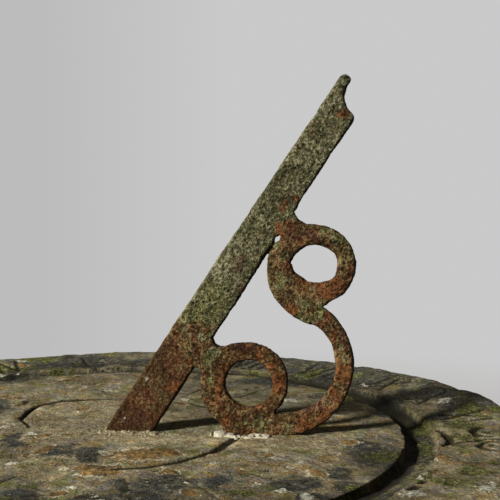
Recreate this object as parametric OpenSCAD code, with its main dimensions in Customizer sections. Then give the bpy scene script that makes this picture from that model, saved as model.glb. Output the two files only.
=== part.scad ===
// Horizontal garden sundial: a round carved stone with a forged iron gnomon leaded into it.
// Origin at the centre of the stone's underside, +Z up, +X towards noon along the gnomon.

/* [Dial stone] */
// Radius of the stone
stone_r = 225; // [200:1:300]
// Thickness of the stone
stone_h = 62; // [54:1:90]
// Height of the upright band round its edge
fascia_h = 30; // [20:1:40]
// Height of the plain band at its foot
foot_band_h = 8; // [3:1:14]
// Depth of the step between the upright band and the hollow below it
edge_step = 3; // [1:0.5:8]
// Rounding of the top arris
arris_r = 5; // [2:0.5:10]

/* [Circles] */
// Radius of the hub circle, in the middle of its groove
hub_r = 72; // [50:1:100]
// Width of the hub groove at the surface
hub_w = 7; // [3:0.5:12]
// Depth of the hub groove
hub_depth = 2.5; // [1:0.5:5]
// Width of the flat numeral band outside the ring groove
band_w = 54; // [48:1:70]
// Width of the ring groove's floor
ring_floor_w = 7; // [3:0.5:14]
// Depth of the ring groove, also the radius of its hollow outer wall
ring_depth = 8; // [4:0.5:12]

/* [Hour marks] */
// Latitude: the slope of the blade, which also sets the hour lines
latitude = 56.3; // [50:0.1:60]
// Hours marked each side of noon
hours = 8; // [4:1:8]
// Width of the hour lines at the surface
line_w = 1.8; // [1:0.1:3]
// Depth of the hour lines
line_depth = 1; // [0.5:0.1:2]
// Gap between an hour line's ends and the circles beside it
line_gap = 7; // [3:0.5:20]
// Length of the short tick at each hour, inside the numeral
tick_len = 5; // [2:0.5:8]
// Height of the numerals
numeral_h = 27; // [18:1:30]
// Margin between the numerals and the edge of the stone
numeral_margin = 17; // [12:0.5:20]
// Width of a numeral's strokes at the surface
stroke_w = 3; // [1.5:0.1:4]
// Depth of a numeral's strokes
stroke_depth = 1.6; // [0.8:0.1:3]
// Room that an upright stroke takes across
upright_room = 7.5; // [5:0.5:10]
// Room that a slanted pair of strokes takes across
slant_room = 14; // [10:0.5:18]

/* [Blade] */
// Thickness of the iron
iron_t = 5; // [3:0.5:8]
// Where the blade's upper edge meets the stone, along X
toe_x = -1.4; // [-6:0.1:6]
// Length of the blade's upper edge
blade_len = 224; // [200:1:245]
// Width of the blade at its foot
blade_foot_w = 20.5; // [16:0.5:26]
// Width of the blade at its tip
blade_tip_w = 17.8; // [14:0.1:22]
// Radius of the hollow cut that leaves the hooked tip
notch_r = 11.3; // [6:0.1:14]
// Width of the tip left above the hollow
hook_w = 5.7; // [3:0.1:8]
// How far the hollow's centre lies back from the end
notch_back = 3.5; // [1:0.5:8]
// Rounding of the blade's corners
corner_r = 2.5; // [1:0.1:3]
// Length of the tang in the stone
tang_len = 22; // [14:1:24]
// Width of the tang
tang_w = 16; // [8:1:18]

/* [Scroll] */
// Radius of the lower curl
low_r = 23; // [20:0.5:25]
// Height of the lower curl's underside above the stone
low_lift = 1.9; // [0.5:0.1:4]
// Radius of the lower curl's thinned end
low_end_r = 20.6; // [18:0.1:22]
// Diameter of the eye of the lower curl
low_eye_d = 25.4; // [18:0.1:28]
// Gap between the lower curl and the blade
low_gap = 4.7; // [2:0.1:8]
// Radius of the big bend on the right
bend_r = 37; // [34:0.5:40]
// Distance along X from the lower curl to the big bend
bend_reach = 19.3; // [16:0.1:22]
// Width of the bar at the right of the big bend
bend_bar_w = 8.6; // [6:0.1:11]
// How much wider the bar is at the left than at the middle of the bend
bend_swell = 1.8; // [0:0.1:3]
// Radius of the upper curl
top_r = 21.5; // [19:0.5:24]
// Radius of the upper curl's thinned end
top_end_r = 20.1; // [18:0.1:22]
// Radius of the wide shoulder where the bar runs into the upper curl
shoulder_r = 27.9; // [25:0.1:30]
// Width of the eye of the upper curl
top_eye_w = 24; // [16:0.5:26]
// Height of the eye of the upper curl
top_eye_h = 20; // [14:0.5:22]
// How far the big bend runs into the upper curl
bend_lap = 5.5; // [4:0.1:8]
// Gap between the upper curl and the blade, filled at the weld
top_gap = 0.2; // [0.1:0.1:2]
// How far the foot bar reaches left of the lower curl's centre
foot_reach = 11.5; // [8:0.5:16]
// Height of the foot bar
foot_bar_h = 9; // [5:0.5:11]

/* [Fixings] */
// Clear width left for lead round the tang and the pins
lead_w = 3; // [1.5:0.5:5]
// Clear depth left for lead below the tang and the pins
lead_floor = 2; // [1:0.5:4]
// Diameter of the two pins under the scroll's foot
pin_d = 5; // [3:0.5:5]
// Length of the pins in the stone
pin_len = 20; // [10:1:24]
// Distance from the left end of the foot bar to the first pin
pin_inset = 5; // [3:0.5:9]
// Distance between the pins
pin_pitch = 15; // [12:1:20]
// Height of the mortar round the blade's foot
blade_mortar_h = 4.5; // [2:0.5:8]
// Height of the mortar lumps at the scroll's foot
scroll_mortar_h = 3; // [1.5:0.5:6]
// How far the mortar spreads beyond the lead
mortar_lip = 2; // [1:0.5:5]
// Diameter of the blind hole for a pedestal's dowel
dowel_d = 16; // [10:1:25]
// Stone left between the dowel hole and the tang's mortise
stone_web = 10; // [6:1:20]

/* [Hidden] */
$fn = 96;
cut = 1;

// The stone, from its underside at Z = 0
cove_r = stone_h - fascia_h - foot_band_h;
band_in_r = stone_r - band_w;
ring_r = band_in_r - ring_depth - ring_floor_w;
numeral_in_r = stone_r - numeral_margin - numeral_h;
tick_in_r = numeral_in_r - tick_len - line_w;

// Hour lines fan out from the blade's toe
function hour_angle(h) = atan2(sin(latitude) * sin(15 * h), cos(15 * h));
numeral_words = ["", "I", "II", "III", "IV", "V", "VI", "VII", "VIII", "IX", "X", "XI"];
function room(mark) = mark == "I" ? upright_room : slant_room;
function room_before(word, n) = n == 0 ? 0 : room_before(word, n - 1) + room(word[n - 1]);

// The noon flower, measured outwards from the inner edge of the numeral band
noon_base = 6;
noon_base_r = 30;
noon_base_turn = 28;
noon_neck = 21;
noon_tip = 38;
noon_petal_r = 8.3;
noon_petal_x = 28.5;
noon_petal_y = 13.5;
noon_stem_y = 8;
noon_seed_r = 1.4;
noon_petal_from = 110;
noon_petal_turn = 165;

// The iron lies in the plane Y = 0. These places are along the blade and square to it,
// from the toe, and on_blade() turns them into X and height above the stone.
along = [cos(latitude), sin(latitude)];
across = [sin(latitude), -cos(latitude)];
toe = [toe_x, 0];
function on_blade(s, t) = toe + s * along + t * across;
function blade_w(s) = blade_foot_w + (blade_tip_w - blade_foot_w) * s / blade_len;
low_joint = 0.3;
top_joint = 0.6;
low_z = low_r + low_lift;
low_t = blade_w(low_joint * blade_len) + low_gap + low_r;
low_x = toe_x + (low_t + low_z * cos(latitude)) / sin(latitude);
low_c = [low_x, low_z];
low_s = (low_c - toe) * along;
bend_c = [low_x + bend_reach, bend_r];
bend_s = (bend_c - toe) * along;
bend_t = (bend_c - toe) * across;
bend_eye_r = bend_r - bend_bar_w - bend_swell;
bend_to_top = bend_r + top_r - bend_lap;
top_t = blade_w(top_joint * blade_len) + top_gap + top_r;
top_s = bend_s + sqrt(pow(bend_to_top, 2) - pow(bend_t - top_t, 2));
top_c = on_blade(top_s, top_t);
top_turn = atan2(top_c[1] - bend_c[1], top_c[0] - bend_c[0]) - 75.3;

// Small shifts of the curls' other circles from their centres, as the bar thins round them
low_end_shift = [2, 2.4];
low_eye_shift = [2.4, 2];
bend_eye_shift = [bend_swell, 0.5];
top_end_shift = [3.4, 0.9];
top_eye_shift = [2.6, 1.4];
shoulder_shift = [6.5, -1.4];
shoulder_from = 180;
shoulder_to = 263;
bend_from = -115;
bend_to = 66;
foot_left = low_x - foot_reach;

// How far each weld reaches along the blade, from the nearest point of its curl
low_weld_reach = [-4.5, 10];
top_weld_reach = [4.7, 17];
top_tack_reach = [-6, 1.5];

// Pockets in the stone, which the lead fills
tang_x = toe_x + (blade_foot_w / sin(latitude) - tang_w) / 2;
mortise_depth = tang_len + lead_floor;
pin_hole_d = pin_d + 2 * lead_w;
pin_depth = pin_len + lead_floor;
pin_inner_x = foot_left + pin_inset;
pin_outer_x = pin_inner_x + pin_pitch;
dowel_depth = stone_h - mortise_depth - stone_web;
collar_r = iron_t / 2 + lead_w + mortar_lip;
lump_r = pin_hole_d / 2 + mortar_lip;
seat = 0.01;

// A slice of a disc from one angle to another, wide enough to clip any curl
module sector(from, to, r) {
    steps = ceil((to - from) / 30);
    turn = (to - from) / steps;
    polygon(concat([[0, 0]], [for (i = [0:steps]) r / cos(turn / 2) * [cos(from + i * turn), sin(from + i * turn)]]));
}

// Extrudes a drawing in X and height into the upright plane of the iron
module iron_plate(thick) {
    translate([0, 0, stone_h]) rotate([90, 0, 0]) linear_extrude(thick, center = true) children();
}

// Draws in the blade's own directions: x runs up the blade, y square to it and up
module blade_frame() {
    translate(toe) rotate(latitude) children();
}

module above_stone_2d() {
    translate([-stone_r, 0]) square([2 * stone_r, 2 * blade_len]);
}

module corner_2d(r) {
    difference() {
        square(r + cut);
        circle(r);
    }
}

module style_2d() {
    notch_s = blade_len - notch_back;
    notch_t = hook_w + notch_r;
    hook_edge = notch_t - sqrt(pow(notch_r, 2) - pow(notch_back, 2));
    hook_round = hook_w / 3;
    nose_t = blade_tip_w - corner_r;
    nose_s = notch_s - sqrt(pow(notch_r, 2) - pow(notch_t - nose_t, 2)) - corner_r;
    intersection() {
        above_stone_2d();
        blade_frame() difference() {
            polygon([[-2 * blade_foot_w, 0], [blade_len, 0], [blade_len, -blade_w(blade_len)],
                [-2 * blade_foot_w, -blade_w(-2 * blade_foot_w)]]);
            translate([notch_s, -notch_t]) circle(notch_r);
            translate([notch_s, -notch_t - blade_foot_w]) square([2 * notch_r, blade_foot_w]);
            translate([blade_len - corner_r, -corner_r]) corner_2d(corner_r);
            translate([blade_len - hook_round, hook_round - hook_edge]) mirror([0, 1]) corner_2d(hook_round);
            translate([nose_s, -nose_t]) mirror([0, 1]) corner_2d(corner_r);
        }
    }
}

module tang_2d() {
    translate([tang_x, -tang_len]) square([tang_w, tang_len + cut]);
}

module curl_eyes_2d() {
    translate(low_c + low_eye_shift) circle(d = low_eye_d);
    translate(top_c) rotate(top_turn) translate(top_eye_shift)
        polygon([for (i = [0:59]) [top_eye_w / 2 * cos(6 * i), top_eye_h / 2 * sin(6 * i)]]);
}

module scroll_2d() {
    difference() {
        union() {
            intersection() {
                translate(low_c) circle(low_r);
                translate([-stone_r, 0]) square([stone_r + low_x + low_end_shift[0], stone_r]);
            }
            translate(low_c + low_end_shift) circle(low_end_r);
            translate([foot_left, 0]) square([bend_c[0] - foot_left, foot_bar_h]);
            difference() {
                intersection() {
                    translate(bend_c) circle(bend_r);
                    translate(bend_c) sector(bend_from, bend_to + top_turn, 2 * bend_r);
                }
                translate(bend_c + bend_eye_shift) circle(bend_eye_r);
            }
            translate(top_c) rotate(top_turn) {
                circle(top_r);
                translate(top_end_shift) circle(top_end_r);
                intersection() {
                    translate(shoulder_shift) circle(shoulder_r);
                    translate(shoulder_shift) sector(shoulder_from, shoulder_to, 2 * shoulder_r);
                }
            }
        }
        curl_eyes_2d();
    }
}

// A patch beside the blade, from one place along it to another, reaching out to deep
module weld_patch_2d(from, to, deep) {
    blade_frame() translate([from, -deep]) square([to - from, deep - hook_w]);
}

module gnomon_style() {
    color("#6a5a48") {
        iron_plate(iron_t) style_2d();
        iron_plate(iron_t) tang_2d();
    }
}

module gnomon_scroll() {
    color("#74503a") iron_plate(iron_t) scroll_2d();
}

module weld(from, to, deep) {
    iron_plate(iron_t) difference() {
        weld_patch_2d(from, to, deep);
        style_2d();
        scroll_2d();
        curl_eyes_2d();
    }
}

module lower_weld() {
    color("#5d4030") weld(low_s + low_weld_reach[0], low_s + low_weld_reach[1], low_t - low_r / 2);
}

module upper_weld() {
    color("#5d4030") {
        weld(top_s + top_tack_reach[0], top_s + top_tack_reach[1], top_t - top_r / 2);
        weld(top_s + top_weld_reach[0], top_s + top_weld_reach[1], top_t - top_r / 2);
    }
}

// A hole or a pin standing below the top of the stone
module sunk(d, depth, up) {
    translate([0, 0, stone_h - depth]) cylinder(h = depth + up, d = d);
}

module mortise(up) {
    translate([tang_x - lead_w, -iron_t / 2 - lead_w, stone_h - mortise_depth])
        cube([tang_w + 2 * lead_w, iron_t + 2 * lead_w, mortise_depth + up]);
}

module scroll_pin(x) {
    color("#4f4640") translate([x, 0, 0]) sunk(pin_d, pin_len, 0);
}

module scroll_pin_inner() {
    scroll_pin(pin_inner_x);
}

module scroll_pin_outer() {
    scroll_pin(pin_outer_x);
}

module style_lead() {
    color("#8b8f94") difference() {
        mortise(0);
        iron_plate(iron_t) tang_2d();
    }
}

module scroll_lead(x) {
    color("#8b8f94") translate([x, 0, 0]) difference() {
        sunk(pin_hole_d, pin_depth, 0);
        sunk(pin_d, pin_len, cut);
    }
}

module scroll_lead_inner() {
    scroll_lead(pin_inner_x);
}

module scroll_lead_outer() {
    scroll_lead(pin_outer_x);
}

// A low dome of mortar on the stone: a cap of a sphere with its foot of radius r
module dome(x, r, h) {
    ball_r = (r * r + h * h) / (2 * h);
    intersection() {
        translate([x, 0, stone_h + h - ball_r]) sphere(ball_r);
        translate([x - r, -r, stone_h]) cube([2 * r, 2 * r, 2 * h]);
    }
}

module style_mortar() {
    half_run = tang_w / 2 + lead_w + mortar_lip - collar_r;
    middle = tang_x + tang_w / 2;
    color("#b8a888") difference() {
        for (i = [-1:1]) dome(middle + i * (half_run + 1), collar_r + 1, blade_mortar_h);
        iron_plate(iron_t) style_2d();
    }
}

module scroll_mortar(x) {
    color("#cfc6b0") difference() {
        dome(x, lump_r, scroll_mortar_h);
        iron_plate(iron_t) scroll_2d();
    }
}

module scroll_mortar_inner() {
    scroll_mortar(pin_inner_x);
}

module scroll_mortar_outer() {
    scroll_mortar(pin_outer_x);
}

module slab_profile() {
    difference() {
        square([stone_r, stone_h]);
        translate([stone_r - arris_r, stone_h - arris_r]) corner_2d(arris_r);
        translate([stone_r - edge_step, foot_band_h]) {
            circle(cove_r);
            translate([-cove_r, -foot_band_h - cut]) square([cove_r + edge_step + cut, foot_band_h + cut]);
            square([edge_step + cut, cove_r]);
        }
    }
}

// The turned grooves, drawn in radius and height
module groove_profiles() {
    translate([hub_r, stone_h]) polygon([[-hub_w / 2, 0], [-hub_w / 2, cut], [hub_w / 2, cut], [hub_w / 2, 0], [0, -hub_depth]]);
    translate([ring_r, stone_h - ring_depth]) square([ring_floor_w, ring_depth + cut]);
    intersection() {
        translate([ring_r + ring_floor_w, stone_h]) circle(ring_depth);
        translate([ring_r + ring_floor_w - seat, stone_h - 2 * ring_depth]) square([2 * ring_depth, 2 * ring_depth]);
    }
}

// A V cut in the top of the stone from one point of the plan to another
module stroke(from, to, w, depth) {
    run = to - from;
    translate([from[0], from[1], stone_h]) rotate(atan2(run[1], run[0])) rotate([90, 0, 90])
        linear_extrude(norm(run)) polygon([[-w / 2, 0], [-w / 2, cut], [w / 2, cut], [w / 2, 0], [0, -depth]]);
}

// The same V cut round part of a circle
module curved_stroke(centre, r, from, turn, w, depth) {
    translate([centre[0], centre[1], stone_h]) rotate(from) rotate_extrude(angle = turn)
        translate([r, 0]) polygon([[-w / 2, 0], [-w / 2, cut], [w / 2, cut], [w / 2, 0], [0, -depth]]);
}

// One upright, V or X with its foot at the origin, its top along +X and its left along +Y
module numeral_mark(mark) {
    half = mark == "X" ? slant_room / 2 - stroke_w / 2 : mark == "V" ? slant_room / 2 - stroke_w / 2 : 0;
    foot = mark == "X" ? half : 0;
    stroke([0, foot], [numeral_h, -half], stroke_w, stroke_depth);
    if (mark != "I") stroke([0, -foot], [numeral_h, half], stroke_w, stroke_depth);
}

module numeral(word) {
    full = room_before(word, len(word));
    for (n = [0:len(word) - 1])
        translate([numeral_in_r, full / 2 - room_before(word, n) - room(word[n]) / 2, 0]) numeral_mark(word[n]);
}

module hour_cuts() {
    for (h = [-hours:hours]) rotate(hour_angle(h)) {
        stroke([hub_r + hub_w / 2 + line_gap, 0], [ring_r - line_gap, 0], line_w, line_depth);
        if (h != 0) {
            stroke([tick_in_r, 0], [tick_in_r + tick_len, 0], line_w, line_depth);
            numeral(numeral_words[(12 - h) % 12]);
        }
    }
}

module noon_flower() {
    translate([band_in_r, 0, 0]) {
        curved_stroke([noon_base - noon_base_r, 0], noon_base_r, -noon_base_turn, 2 * noon_base_turn, stroke_w, stroke_depth);
        stroke([noon_neck, 0], [noon_tip, 0], stroke_w, stroke_depth);
        for (side = [-1, 1]) mirror([0, side < 0 ? 1 : 0, 0]) {
            stroke([noon_base + 1, noon_stem_y], [noon_neck, 1], line_w, line_depth);
            curved_stroke([noon_petal_x, noon_petal_y], noon_petal_r, noon_petal_from, noon_petal_turn, stroke_w, stroke_depth);
            translate([noon_petal_x - 2, noon_petal_y, stone_h - noon_seed_r]) cylinder(h = 2 * noon_seed_r, r = noon_seed_r);
        }
    }
}

module dial_slab() {
    color("#8c8168") difference() {
        rotate_extrude() slab_profile();
        rotate_extrude() groove_profiles();
        hour_cuts();
        noon_flower();
        mortise(cut);
        for (x = [pin_inner_x, pin_outer_x]) translate([x, 0, 0]) sunk(pin_hole_d, pin_depth, cut);
        translate([0, 0, -cut]) cylinder(h = dowel_depth + cut, d = dowel_d);
    }
}

dial_slab();
gnomon_style();
gnomon_scroll();
lower_weld();
upper_weld();
scroll_pin_inner();
scroll_pin_outer();
style_lead();
scroll_lead_inner();
scroll_lead_outer();
style_mortar();
scroll_mortar_inner();
scroll_mortar_outer();
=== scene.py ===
import itertools
from math import atan2, cos, pi, radians, sin, sqrt, tan

import bpy
import numpy as np
from mathutils import Matrix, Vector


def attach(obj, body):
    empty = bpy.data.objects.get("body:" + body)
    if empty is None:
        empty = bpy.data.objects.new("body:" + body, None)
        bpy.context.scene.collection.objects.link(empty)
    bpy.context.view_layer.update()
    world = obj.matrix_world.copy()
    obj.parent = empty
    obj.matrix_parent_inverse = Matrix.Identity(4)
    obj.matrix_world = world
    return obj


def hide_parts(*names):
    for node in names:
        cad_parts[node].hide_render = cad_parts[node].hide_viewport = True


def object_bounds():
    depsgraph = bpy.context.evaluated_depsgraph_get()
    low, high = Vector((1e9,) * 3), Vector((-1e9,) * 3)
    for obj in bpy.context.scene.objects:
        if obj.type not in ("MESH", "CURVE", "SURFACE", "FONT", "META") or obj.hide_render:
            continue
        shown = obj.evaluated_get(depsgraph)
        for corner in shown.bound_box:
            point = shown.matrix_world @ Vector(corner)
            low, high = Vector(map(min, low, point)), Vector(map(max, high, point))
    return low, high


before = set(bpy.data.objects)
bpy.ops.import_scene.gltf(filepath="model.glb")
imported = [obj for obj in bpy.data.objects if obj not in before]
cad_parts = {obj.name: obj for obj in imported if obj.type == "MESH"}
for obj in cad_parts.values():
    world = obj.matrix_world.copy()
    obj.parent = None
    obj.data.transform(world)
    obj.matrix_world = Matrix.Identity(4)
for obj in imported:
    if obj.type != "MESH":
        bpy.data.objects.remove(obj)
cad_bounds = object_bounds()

# Lengths are in mm and turn into metres where a mesh or a look is made. Only the floor, the light and
# the camera are given in metres.
MM = 0.001

# The stone, as in the CAD part
RIM, TOP, BAND_W = 225.0, 62.0, 54.0
FASCIA_H, FOOT_BAND_H, EDGE_STEP, ARRIS_R = 30.0, 8.0, 3.0, 5.0
DOWEL_R, DOWEL_DEPTH = 8.0, 28.0
HUB_R, HUB_W, HUB_DEPTH = 72.0, 7.0, 2.5
BAND_IN = RIM - BAND_W
RING_FLOOR_W, RING_DEPTH = 7.0, 8.0
RING_IN = BAND_IN - RING_DEPTH - RING_FLOOR_W

# The hour marks, as in the CAD part
LATITUDE = radians(56.3)
HOURS = range(-8, 9)
LINE_W, LINE_DEPTH, LINE_GAP = 1.8, 1.0, 7.0
NUMERAL_H, NUMERAL_MARGIN = 27.0, 17.0
NUMERAL_IN = RIM - NUMERAL_MARGIN - NUMERAL_H
TICK_LEN = 5.0
TICK_IN = NUMERAL_IN - TICK_LEN - LINE_W
STROKE_W, STROKE_DEPTH = 3.0, 1.6
ROOM = {"I": 7.5, "V": 14.0, "X": 14.0}
WORDS = " I II III IV V VI VII VIII IX X XI".split(" ")

# The blade and the curls, as in the CAD part: X and height above the dial
IRON = 5.0
BLADE_LEN, BLADE_FOOT_W, BLADE_TIP_W = 224.0, 20.5, 17.8
TOE = np.array([-1.4, 0.0])
ALONG = np.array([cos(LATITUDE), sin(LATITUDE)])
ACROSS = np.array([ALONG[1], -ALONG[0]])
LOW_CURL, LOW_R = np.array([72.17, 24.9]), 23.0
TOP_CURL, TOP_R = np.array([106.04, 87.96]), 21.5

rng = np.random.default_rng(56)


# Noise and scattered cells on points in mm

def hashed(i, j, k, seed):
    """A random number from 0 to 1 that belongs to a grid cell."""
    h = i * 374761393 + j * 668265263 + k * 1103515245 + seed * 362437
    h = (h ^ (h >> 13)) & 0xFFFFFFFF
    h = (h * 1274126177) & 0xFFFFFFFF
    return ((h ^ (h >> 16)) & 0xFFFF) / 65535.0


def noise(p, size, seed):
    """Smooth noise from -1 to 1 with blobs of about that size."""
    q = p / size
    i = np.floor(q).astype(np.int64)
    f = q - i
    f = f * f * (3 - 2 * f)
    out = 0
    for corner in itertools.product((0, 1), repeat=3):
        x, y, z = (f[:, k] if far else 1 - f[:, k] for k, far in enumerate(corner))
        out = out + x * y * z * hashed(*(i + np.array(corner)).T, seed)
    return 2 * out - 1


def cells(p, size, seed):
    """How far the nearest scattered point is, in sizes, and that point's own random number."""
    q = p / size
    i = np.floor(q).astype(np.int64)
    near, who = np.full(len(p), 9.0), np.zeros(len(p))
    for step in itertools.product((-1, 0, 1), repeat=3):
        n = i + np.array(step)
        d = sum((n[:, k] + hashed(*n.T, seed + k) - q[:, k]) ** 2 for k in range(3))
        closer = d < near
        near = np.where(closer, d, near)
        who = np.where(closer, hashed(*n.T, seed + 7), who)
    return np.sqrt(near), who


def smooth(x, low, high):
    t = np.clip((x - low) / (high - low), 0, 1)
    return t * t * (3 - 2 * t)


def hump(x, at, breadth):
    """1 at one place, falling off evenly on both sides."""
    return np.exp(-((x - at) / breadth) ** 2)


def mound(x, y, cx, cy, a, b):
    return np.exp(-((x - cx) / a) ** 2 - ((y - cy) / b) ** 2)


def bowls(p, size, seed, share, radius):
    """Scattered round hollows from 0 to 1 deep, in that share of the cells."""
    near, who = cells(p, size, seed)
    r = radius * (0.55 + 0.45 * who)
    return np.where(who < share, np.clip(1 - (near / r) ** 2, 0, 1), 0)


def patches(x, y, rows, soft=1.0):
    """1 in the middle of the nearest patch, 0 at its edge and down to -1 outside."""
    best = np.full(len(x), -1.0)
    for cx, cy, a, b in rows:
        best = np.maximum(best, 1 - np.hypot((x - cx) / (a * soft), (y - cy) / (b * soft)))
    return best


# Meshes

def new_piece(name, points, faces, fields, stands_for, look):
    mesh = bpy.data.meshes.new(name)
    mesh.from_pydata((points * MM).tolist(), [], faces)
    mesh.polygons.foreach_set("use_smooth", [True] * len(mesh.polygons))
    for key, values in fields.items():
        mesh.attributes.new(key, "FLOAT", "POINT").data.foreach_set("value", values.astype(np.float32))
    mesh.update()
    piece = bpy.data.objects.new(name, mesh)
    bpy.context.scene.collection.objects.link(piece)
    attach(piece, "root")
    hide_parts(stands_for)
    mesh.materials.append(look)


def remeshed(mesh, voxel, rounds):
    """Points in mm, faces and normals of an even skin over a mesh, with its corners worn round."""
    block = bpy.data.objects.new("block", mesh)
    bpy.context.scene.collection.objects.link(block)
    skin = block.modifiers.new("skin", "REMESH")
    skin.mode = "VOXEL"
    skin.voxel_size = voxel * MM
    graph = bpy.context.evaluated_depsgraph_get()
    done = bpy.data.meshes.new_from_object(block.evaluated_get(graph))
    bpy.data.objects.remove(block)
    n = len(done.vertices)
    points = np.empty(n * 3, np.float32)
    done.vertices.foreach_get("co", points)
    points = points.reshape(-1, 3).astype(float)
    ends = np.empty(len(done.edges) * 2, np.int32)
    done.edges.foreach_get("vertices", ends)
    ends = ends.reshape(-1, 2)
    count = np.bincount(ends.ravel(), minlength=n)[:, None]
    for _ in range(rounds):
        total = np.zeros((n, 3))
        for k, (this, other) in itertools.product(range(3), ((0, 1), (1, 0))):
            total[:, k] += np.bincount(ends[:, this], points[ends[:, other], k], n)
        points = 0.5 * points + 0.5 * total / count
    done.vertices.foreach_set("co", points.ravel())
    done.update()
    normals = np.empty(n * 3, np.float32)
    done.vertex_normals.foreach_get("vector", normals)
    faces = [tuple(f.vertices) for f in done.polygons]
    bpy.data.meshes.remove(done)
    return points / MM, faces, normals.reshape(-1, 3).astype(float)


# The marks carved into the dial

# Hours whose numerals have weathered more than the rest, and what is left of their depth
FAINT = {7: 0.6, -1: 0.35, -2: 0.25, -6: 0.15}


def hour_angle(h):
    t = radians(15 * h)
    return atan2(sin(LATITUDE) * sin(t), cos(t))


def turned(points, angle):
    c, s = cos(angle), sin(angle)
    return [(x * c - y * s, x * s + y * c) for x, y in points]


def arc(centre, r, start, turn, parts):
    angles = [radians(start + turn * k / parts) for k in range(parts + 1)]
    return [(centre[0] + r * cos(a), centre[1] + r * sin(a)) for a in angles]


def numeral_lines(word):
    lines, left = [], sum(ROOM[m] for m in word) / 2
    for mark in word:
        y = left - ROOM[mark] / 2
        left -= ROOM[mark]
        half = 0 if mark == "I" else ROOM[mark] / 2 - STROKE_W / 2
        foot = half if mark == "X" else 0
        lines.append([(NUMERAL_IN, y + foot), (NUMERAL_IN + NUMERAL_H, y - half)])
        if mark != "I":
            lines.append([(NUMERAL_IN, y - foot), (NUMERAL_IN + NUMERAL_H, y + half)])
    return lines


def hour_marks(h):
    """One hour's line, tick and numeral, each as (points, width, depth, how worn)."""
    a, left = hour_angle(h), FAINT.get(h, 1)
    hour_line = [(HUB_R + HUB_W / 2 + LINE_GAP, 0), (RING_IN - LINE_GAP, 0)]
    marks = [(turned(hour_line, a), LINE_W, LINE_DEPTH * left, 0.65)]
    if h:
        marks.append((turned([(TICK_IN, 0), (TICK_IN + TICK_LEN, 0)], a), LINE_W, LINE_DEPTH * left, 0.5))
        for k, line in enumerate(numeral_lines(WORDS[(12 - h) % 12])):
            # The first stroke of the V has nearly gone
            gone = 0.3 if h == 7 and k == 0 else 1
            marks.append((turned(line, a), STROKE_W, STROKE_DEPTH * left * gone, 0.35))
    return marks


def noon_marks():
    """The noon flower: two bows, a tip, and a stem, a petal and a dot on each side."""
    b = BAND_IN
    marks = [(arc((b - 24, 0), 30, -28, 56, 12), STROKE_W, STROKE_DEPTH * 1.4, 0),
             (arc((b - 11.6, 0), 19, -26, 50, 10), STROKE_W * 1.2, STROKE_DEPTH * 1.9, 0),
             ([(b + 21, 0), (b + 38, 0)], STROKE_W, STROKE_DEPTH, 0.2)]
    petal = arc((b + 28.5, 13.5), 8.3, 110, 165, 14)
    for side in (-1, 1):
        marks.append(([(b + 7, side * 8), (b + 21, side * 2)], 3.2, 1.3 - 0.9 * side, 0))
        marks.append(([(x, side * y) for x, y in petal], STROKE_W * 1.25, STROKE_DEPTH * 1.6, 0))
        marks.append(([(b + 27.4, side * 12.5), (b + 27.8, side * 12.5)], 3.6, 1.8, 0))
    return marks


# A split and two chips seen on the stone
SCARS = [([(-68, 52.2), (-65.9, 55.4), (-65.2, 61.7), (-65.4, 65.6)], 1.7, 1.7, 0),
         ([(152.9, -84.5), (155.7, -80.9)], 4.2, 3.2, 0),
         ([(157.3, -75.9), (159.2, -73.6)], 3.2, 2.4, 0)]


def carved(p):
    """Depth of the cuts at points of the dial's face."""
    at = p[:, :2]
    jogged = at + 0.35 * np.stack([noise(p, 2.4, 31), noise(p, 2.4, 32)], 1)
    wear = smooth(noise(p, 38, 33) + 0.5 * noise(p, 14, 34), -0.7, 0.9)
    depth = np.zeros(len(p))
    marks = [mark for h in HOURS for mark in hour_marks(h)]
    for line, w, d, wears in marks + noon_marks() + SCARS:
        for start, end in itertools.pairwise(np.array(line)):
            run = end - start
            near = np.nonzero((np.abs(at - (start + end) / 2) < np.abs(run) / 2 + w).all(1))[0]
            way = jogged[near] - start
            t = np.clip(way @ run / (run @ run), 0, 1)
            away = np.linalg.norm(way - t[:, None] * run, axis=1)
            cut = d * (1 - wears * wear[near]) * np.clip(1 - away / (0.62 * w), 0, 1)
            depth[near] = np.maximum(depth[near], cut)
    return depth


# The hub groove by its angle in degrees: how much of its depth is left, how far it strays, how broad it is
HUB = np.array([
    (-180, 0, -26, 0.3), (-115, 0, -1, 0.3), (-81, 0.02, -2, 0.3), (-73, 0.6, -2.5, 0.33),
    (-45, 0.9, -3, 0.36), (-20, 1.1, -4, 0.45), (0, 0.6, -3, 0.5), (30, 0.3, 0, 0.4), (90, 0.3, 1, 0.4),
    (101, 0.32, 2, 0.4), (108, 0.35, 3, 0.42), (114, 0.45, 5, 0.45), (119, 0.6, 6, 0.5), (130, 0.9, 6, 0.55),
    (135, 1.1, 5, 0.5), (139, 1.2, 2, 0.45), (146, 1.3, -4, 0.4), (154, 1.3, -10, 0.32),
    (159, 1.3, -12, 0.28), (163, 1.2, -18, 0.25), (169, 1.0, -23, 0.25), (175, 0.2, -26, 0.25),
    (180, 0, -26, 0.3)]).T


def hub_groove(p, r, turn):
    """Depth of the worn hub groove."""
    left, stray, breadth = (np.interp(turn, HUB[0], column) for column in HUB[1:])
    away = np.abs(r + 0.9 * noise(p, 16, 21) + 0.5 * noise(p, 5, 22) - HUB_R - stray)
    return HUB_DEPTH * np.clip(1 - away / (HUB_W * breadth), 0, 1) * left * (0.9 + 0.3 * noise(p, 12, 23))


# The stone's turned section and its mesh

SECTORS = 776


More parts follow.
